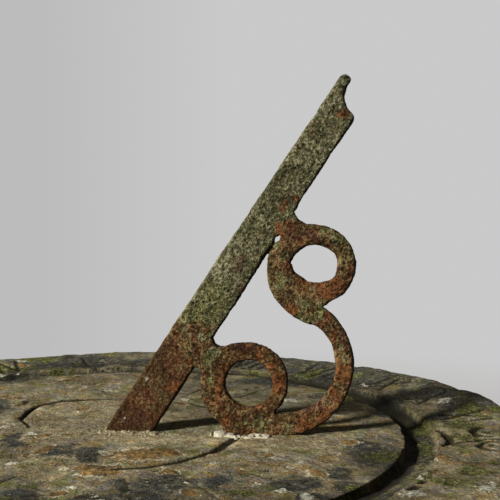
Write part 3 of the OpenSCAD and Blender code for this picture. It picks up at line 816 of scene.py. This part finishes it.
class Look:
    """A material's or world's nodes, built one at a time on the piece's own coordinates."""

    def __init__(self, owner):
        self.owner = owner
        owner.use_nodes = True
        self.tree = owner.node_tree
        self.tree.nodes.clear()
        self.coordinates = self.node("TexCoord", {})
        self.place = self.coordinates["Object"]

    def node(self, kind, inputs, **settings):
        """A new node's outputs; each input is a number, a colour, a direction or another node's output."""
        n = self.tree.nodes.new("ShaderNode" + kind)
        for key, value in settings.items():
            setattr(n, key, value)
        for key, value in inputs.items():
            socket = n.inputs[key]
            if isinstance(value, bpy.types.NodeSocket):
                self.tree.links.new(value, socket)
            elif isinstance(value, tuple):
                socket.default_value = (*value, 1)[:len(socket.default_value)]
            else:
                socket.default_value = value
        return n.outputs

    def noise(self, size, seed, detail=3, rough=0.6):
        inputs = {"Vector": self.place, "W": seed, "Scale": 1 / MM / size, "Detail": detail,
                  "Roughness": rough}
        return self.node("TexNoise", inputs, noise_dimensions="4D")["Fac"]

    def field(self, name):
        return self.node("Attribute", {}, attribute_name=name)["Fac"]

    def math(self, what, a, b=0.5, c=0.5):
        return self.node("Math", {0: a, 1: b, 2: c}, operation=what)[0]

    def ease(self, x, low, high, first, last, kind="LINEAR"):
        """From the first number to the last as x goes from low to high."""
        inputs = {"Value": x, "From Min": low, "From Max": high, "To Min": first, "To Max": last}
        return self.node("MapRange", inputs, interpolation_type=kind)[0]

    def step(self, x, low, high, to=1):
        return self.ease(x, low, high, 0, to, "SMOOTHSTEP")

    def mix(self, share, a, b):
        return self.node("Mix", {0: share, 6: a, 7: b}, data_type="RGBA")[2]

    def layers(self, colour, *rows):
        """The colour under layers given as (x, low, high, share, tint), each thicker where its x is high."""
        for x, low, high, share, tint in rows:
            colour = self.mix(self.step(x, low, high, share), colour, tint)
        return colour

    def ramp(self, x, *stops):
        """A colour picked by x from (place, colour) stops."""
        out = self.node("ValToRGB", {0: x})[0]
        row = out.node.color_ramp.elements
        for k, (place, colour) in enumerate(stops):
            stop = row[k] if k < 2 else row.new(place)
            stop.position = place
            stop.color = (*colour, 1)
        return out

    def shade(self, colour, x, low, high, dark, light):
        """The colour made darker where x is low and lighter where it is high."""
        scale = self.ease(x, low, high, dark, light)
        return self.node("VectorMath", {0: colour, "Scale": scale}, operation="SCALE")[0]

    def ragged(self, name, *noises):
        """A field with its edges broken up by (noise, how much) pairs."""
        x = self.field(name)
        for n, much in noises:
            x = self.math("MULTIPLY_ADD", self.math("SUBTRACT", n, 0.5), much, x)
        return x

    def bump(self, height, depth, under=None):
        inputs = {"Height": height, "Distance": depth * MM}
        if under is not None:
            inputs["Normal"] = under
        return self.node("Bump", inputs)[0]

    def surface(self, colour, normal, rough, shine=0.3, metal=0):
        inputs = {"Base Color": colour, "Roughness": rough, "Specular IOR Level": shine, "Metallic": metal}
        if normal is not None:
            inputs["Normal"] = normal
        return self.node("BsdfPrincipled", inputs)

    def finish(self, *how):
        self.node("OutputMaterial", {"Surface": self.surface(*how)[0]})
        return self.owner


def stone_look():
    k = Look(bpy.data.materials.new("weathered_stone"))
    broad, mid = k.noise(34, 1, 4), k.noise(9, 2, 6, 0.68)
    small, grain = k.noise(3.4, 3, 5, 0.72), k.noise(1.4, 4, 3, 0.7)
    other, third = k.noise(6.5, 5, 5, 0.62), k.noise(13, 6, 5, 0.62)
    # Bare stone: tan, grey-green, mauve-grey and ochre stretches, then pale dust, algae and spots of black
    bare = k.ramp(other, (0.36, (0.21, 0.145, 0.075)), (0.45, (0.39, 0.305, 0.17)),
                  (0.54, (0.34, 0.29, 0.17)), (0.64, (0.48, 0.41, 0.265)))
    colour = k.layers(
        bare, (third, 0.5, 0.57, 0.75, (0.255, 0.25, 0.16)),
        (k.noise(12, 11, 4, 0.6), 0.53, 0.6, 0.7, (0.275, 0.235, 0.2)),
        (k.noise(10, 12, 4, 0.62), 0.53, 0.6, 0.75, (0.35, 0.23, 0.075)),
        (k.noise(6, 15, 6, 0.72), 0.59, 0.63, 0.7, (0.56, 0.51, 0.37)),
        (k.noise(11, 13, 4, 0.62), 0.54, 0.61, 0.75, (0.19, 0.195, 0.055)),
        (k.noise(5.5, 14, 6, 0.74), 0.585, 0.62, 0.85, (0.045, 0.04, 0.03)),
        (k.field("calm"), 0, 1, 0.65, bare))
    # Black lichen with dirt, moss, and orange lichen
    dark = k.ramp(small, (0.34, (0.02, 0.02, 0.018)), (0.47, (0.058, 0.055, 0.044)),
                  (0.57, (0.1, 0.095, 0.068)), (0.68, (0.22, 0.19, 0.115)))
    dark = k.layers(dark, (third, 0.52, 0.6, 0.6, (0.068, 0.075, 0.074)))
    moss = k.ramp(grain, (0.38, (0.045, 0.05, 0.018)), (0.5, (0.125, 0.125, 0.035)),
                  (0.64, (0.26, 0.26, 0.066)))
    place = k.ragged("orange", (k.noise(5, 7, 5, 0.7), 1.6), (small, 1.2))
    rosette = k.ramp(k.noise(3.6, 8, 4, 0.6), (0.36, (0.075, 0.05, 0.022)), (0.5, (0.24, 0.14, 0.045)),
                     (0.64, (0.37, 0.21, 0.06)))
    colour = k.layers(
        colour, (k.ragged("slate", (mid, 2.6), (broad, 1), (small, 1.8)), -0.16, 0.14, 0.95, dark),
        (k.ragged("green", (other, 2.8), (small, 2.2)), 0, 0.3, 0.9, moss),
        (place, 0.02, 0.25, 0.88, rosette))
    # The orange lichen's broken pale rim, then pale lichen in crumbs and in patches
    rim = k.math("MULTIPLY", k.step(place, -0.1, -0.01), k.step(place, 0.16, 0.07))
    rim = k.math("MULTIPLY", rim, k.step(k.noise(9, 9, 3), 0.46, 0.52, 0.95))
    crumbs = k.math("MULTIPLY", k.step(grain, 0.59, 0.66), k.step(k.noise(11, 10, 3), 0.49, 0.57, 0.9))
    colour = k.mix(crumbs, k.mix(rim, colour, (0.68, 0.62, 0.44)), (0.54, 0.5, 0.37))
    pale = k.ramp(grain, (0.4, (0.4, 0.37, 0.27)), (0.55, (0.72, 0.69, 0.55)))
    colour = k.layers(colour, (k.ragged("white", (small, 2.4), (grain, 2.8)), 0.05, 0.3, 0.95, pale))
    # Random grain at three sizes, painted shade in hollows and painted highlight on crowns, then broad
    # lighter and darker stretches
    for how in ((grain, 0.32, 0.68, 0.62, 1.38), (small, 0.36, 0.64, 0.7, 1.3), (mid, 0.32, 0.68, 0.66, 1.34),
                (k.field("relief"), 0, 1, 0.6, 1.35), (k.field("tone"), 0, 2, 0, 2)):
        colour = k.shade(colour, *how)
    # Painted shade in pits, cuts and the ring groove, mixed with dirt, and a painted shadow on the groove's
    # sunlit bank
    colour = k.layers(colour, (k.field("cavity"), 0.1, 0.85, 0.92, (0.02, 0.017, 0.01)))
    return k.finish(colour, k.bump(grain, 1.1, k.bump(small, 2.2)), 0.93, 0.1)


def iron_look():
    k = Look(bpy.data.materials.new("pitted_iron"))
    mottle, fine, grit = k.noise(1.5, 21, 3, 0.65), k.noise(0.8, 22, 2, 0.6), k.noise(0.5, 23, 1)
    blotch, spots = k.noise(8, 24, 2, 0.5), k.noise(5, 25, 2, 0.5)
    # Tone runs from painted shade in pits to painted highlight on crests, mottled at random
    tone = k.ragged("relief", (mottle, 1.65), (fine, 1.3), (k.noise(3.4, 29, 2, 0.5), 0.4))

    def tones(*colours):
        return k.ramp(tone, *zip((0.15, 0.42, 0.66, 0.95), colours))

    patina = tones((0.02, 0.0185, 0.008), (0.065, 0.061, 0.027), (0.149, 0.142, 0.07), (0.37, 0.345, 0.21))
    olive = tones((0.019, 0.0185, 0.007), (0.056, 0.053, 0.02), (0.142, 0.139, 0.046), (0.31, 0.3, 0.14))
    brown = tones((0.02, 0.0105, 0.004), (0.043, 0.0235, 0.0075), (0.093, 0.054, 0.0185), (0.3, 0.195, 0.088))
    red = tones((0.025, 0.0095, 0.004), (0.05, 0.018, 0.0065), (0.102, 0.038, 0.0135), (0.3, 0.145, 0.068))
    flame = k.ramp(tone, (0.15, (0.035, 0.0115, 0.0035)), (0.45, (0.094, 0.031, 0.009)),
                   (0.95, (0.3, 0.12, 0.04)))
    plum = k.ramp(tone, (0.15, (0.013, 0.0055, 0.004)), (0.6, (0.07, 0.027, 0.017)),
                  (0.95, (0.17, 0.085, 0.057)))
    rust = k.layers(brown, (k.noise(6.5, 26, 2, 0.5), 0.44, 0.62, 0.85, red),
                    (k.noise(6, 27, 2, 0.5), 0.52, 0.68, 0.35, olive))
    # The field of rust comes twice, because the blade's foot is the most evenly rusted
    colour = k.layers(
        patina, (k.ragged("moss", (blotch, 2.4), (spots, 1.5)), -0.5, 0.3, 0.9, olive),
        (spots, 0.52, 0.66, 0.4, rust),
        (k.ragged("rust", (spots, 2.8), (mottle, 0.4)), -0.3, 0.4, 1, rust),
        (k.field("rust"), 0.8, 1, 0.38, (0.068, 0.031, 0.0145)),
        (k.ragged("warm", (spots, 2.2), (mottle, 0.4)), -0.1, 0.5, 0.82, flame),
        (k.ragged("purple", (spots, 2), (mottle, 0.4)), -0.1, 0.6, 0.65, plum),
        (k.ragged("speck", (fine, 3)), 0.2, 0.5, 0.85, (0.5, 0.47, 0.38)),
        # Painted shade on the sides facing away from the sun and in the seam
        (k.field("edge"), 0, 1, 0.85, (0.014, 0.011, 0.007)))
    colour = k.shade(colour, k.noise(7, 28, 3, 0.55), 0.3, 0.7, 0.72, 1.3)
    colour = k.shade(colour, grit, 0.3, 0.7, 0.6, 1.4)
    return k.finish(colour, k.bump(fine, 0.7, k.bump(mottle, 1.4)), 0.85, 0.12)


def mortar_look(name, pale, dull, seed):
    k = Look(bpy.data.materials.new(name))
    grain = k.noise(0.9, seed, 3, 0.7)
    colour = k.layers(dull, (k.field("grain"), 0.35, 0.8, 1, pale),
                      (grain, 0.52, 0.7, 0.6, tuple(0.45 * c for c in dull)),
                      (k.field("tone"), 0.75, 0.95, 0.6, tuple(0.6 * c for c in dull)))
    return k.finish(colour, k.bump(grain, 0.35), 0.9, 0.15)


def hidden_look(name, light, dark, seed, metal):
    k = Look(bpy.data.materials.new(name))
    colour = k.layers(light, (k.noise(2.5, seed, 3), 0.35, 0.65, 1, dark))
    return k.finish(colour, k.bump(k.noise(1.2, seed + 1, 3), 0.2), 0.6, 0.4, metal)


def floor_look():
    """Pale floor that keeps the shadow and melts into the backdrop further out."""
    k = Look(bpy.data.materials.new("studio_floor"))
    colour = k.mix(k.noise(160, 91, 2), (0.775, 0.775, 0.775), (0.76, 0.76, 0.76))
    shader = k.surface(colour, None, 0.95, 0)
    reach = k.node("VectorMath", {0: k.place}, operation="LENGTH")["Value"]
    clear = k.node("BsdfTransparent", {})
    blend = k.node("MixShader", {0: k.step(reach, *FLOOR_FADE), 1: shader[0], 2: clear[0]})
    k.node("OutputMaterial", {"Surface": blend[0]})
    return k.owner


# The sundial

make_slab(stone_look())

iron = iron_look()
make_iron("gnomon_style", "blade", iron)
make_iron("gnomon_scroll", "scroll", iron)
low_web = web_outline(LOW_CURL, LOW_R, -5.7, 11.6, 2.6, (3.0, -4.2))
make_weld("lower_weld", "weld_below", [low_web], [IRON], iron)
top_webs = [web_outline(TOP_CURL, TOP_R, -7.2, 0.6, 1.6, (3.0, -0.4)),
            web_outline(TOP_CURL, TOP_R, 5.4, 18.6, 2.4, (0.4, -4.2))]
make_weld("upper_weld", "weld_above", top_webs, [IRON - 2.4, IRON + 0.1], iron)

sandy = mortar_look("sandy_mortar", (0.55, 0.47, 0.31), (0.26, 0.21, 0.12), 101)
lime = mortar_look("lime_mortar", (0.74, 0.69, 0.54), (0.56, 0.49, 0.35), 102)
make_heap("style_mortar", "mortar_at_blade", (-9, 32, -15, 9), style_heap, under_blade, sandy)
make_heap("scroll_mortar_inner", "mortar_inner", (52, 74, -12, 8),
          lump(INNER_LUMPS, 81), under_bar, lime)
make_heap("scroll_mortar_outer", "mortar_outer", (70, 90, -16, 8),
          lump(OUTER_LUMPS, 86, OUTER_HOLES), under_bar, lime)

dull_lead = hidden_look("run_lead", (0.3, 0.31, 0.33), (0.16, 0.165, 0.18), 111, 0.8)
scaled_iron = hidden_look("scaled_iron", (0.09, 0.07, 0.06), (0.045, 0.035, 0.03), 113, 0.3)
for nodes, look in ((("style_lead", "scroll_lead_inner", "scroll_lead_outer"), dull_lead),
                    (("scroll_pin_inner", "scroll_pin_outer"), scaled_iron)):
    for node in nodes:
        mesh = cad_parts[node].data
        mesh.materials.clear()
        mesh.materials.append(look)


# Floor, light, backdrop and camera, in metres

FLOOR_R, FLOOR_DROP, FLOOR_FADE = 1.0, 0.0003, (0.36, 0.62)
SUN_TURN, SUN_RISE = radians(42.0), radians(27.5)
SUN_POWER, SUN_WIDTH, SUN_COLOUR = 4.4, radians(8.0), (1.0, 0.985, 0.95)
CAMERA_AT = (0.125108, -0.511864, 0.201242)
CAMERA_RIGHT = (0.99536571, 0.09584282, -0.00782693)
CAMERA_UP = (-0.00017292, 0.0831771, 0.99653477)
CAMERA_BACK = (0.09616172, -0.99191518, 0.08280821)
LENS, SENSOR = 72.0, 36.0
# The backdrop goes from its left shade to its right one as the view turns to the right
BACKDROP_LEFT, BACKDROP_RIGHT = (0.503, 0.503, 0.505), (0.586, 0.586, 0.588)
BACKDROP_TURN = (-0.2, -0.02)
FILL_COLOUR, FILL_POWER = (1.0, 0.95, 0.8), 0.022


def stand(name, data, right, up, back, at):
    """A lamp or camera that looks away from its back."""
    thing = bpy.data.objects.new(name, data)
    bpy.context.scene.collection.objects.link(thing)
    thing.matrix_world = Matrix([[right[k], up[k], back[k], at[k]] for k in range(3)] + [[0, 0, 0, 1]])
    return thing


def make_sun():
    sun = bpy.data.lights.new("key", "SUN")
    sun.energy = SUN_POWER
    sun.angle = SUN_WIDTH
    sun.color = SUN_COLOUR
    level = cos(SUN_RISE)
    back = np.array([-cos(SUN_TURN) * level, -sin(SUN_TURN) * level, sin(SUN_RISE)])
    right = np.cross([0, 0, 1], back)
    right /= np.linalg.norm(right)
    stand("key", sun, right, np.cross(back, right), back, back * 2)


def make_camera():
    lens = bpy.data.cameras.new("camera")
    lens.lens, lens.sensor_width, lens.sensor_height = LENS, SENSOR, SENSOR
    lens.clip_start = 0.01
    return stand("camera", lens, CAMERA_RIGHT, CAMERA_UP, CAMERA_BACK, CAMERA_AT)


def make_world():
    """A pale backdrop where it is seen or mirrored, and a faint warm fill for the rest."""
    k = Look(bpy.data.worlds.new("studio"))
    sideways = k.node("VectorMath", {0: k.coordinates["Generated"], 1: CAMERA_RIGHT}, operation="DOT_PRODUCT")
    sweep = k.ease(sideways["Value"], *BACKDROP_TURN, 0.0, 1.0)
    seen = k.node("Background", {"Color": k.mix(sweep, BACKDROP_LEFT, BACKDROP_RIGHT)})
    fill = k.node("Background", {"Color": FILL_COLOUR, "Strength": FILL_POWER})
    ray = k.node("LightPath", {})
    direct = k.math("MAXIMUM", ray["Is Camera Ray"], ray["Is Transmission Ray"])
    share = k.math("MAXIMUM", direct, ray["Is Glossy Ray"])
    pick = k.node("MixShader", {0: share, 1: fill[0], 2: seen[0]})
    k.node("OutputWorld", {"Surface": pick[0]})
    return k.owner


bpy.ops.mesh.primitive_circle_add(vertices=96, radius=FLOOR_R, fill_type="NGON", location=(0, 0, -FLOOR_DROP))
floor = bpy.context.object
floor.name = "floor"
floor.data.materials.append(floor_look())

make_sun()
bpy.context.scene.camera = make_camera()
bpy.context.scene.world = make_world()
bpy.context.scene.view_settings.view_transform = "Standard"
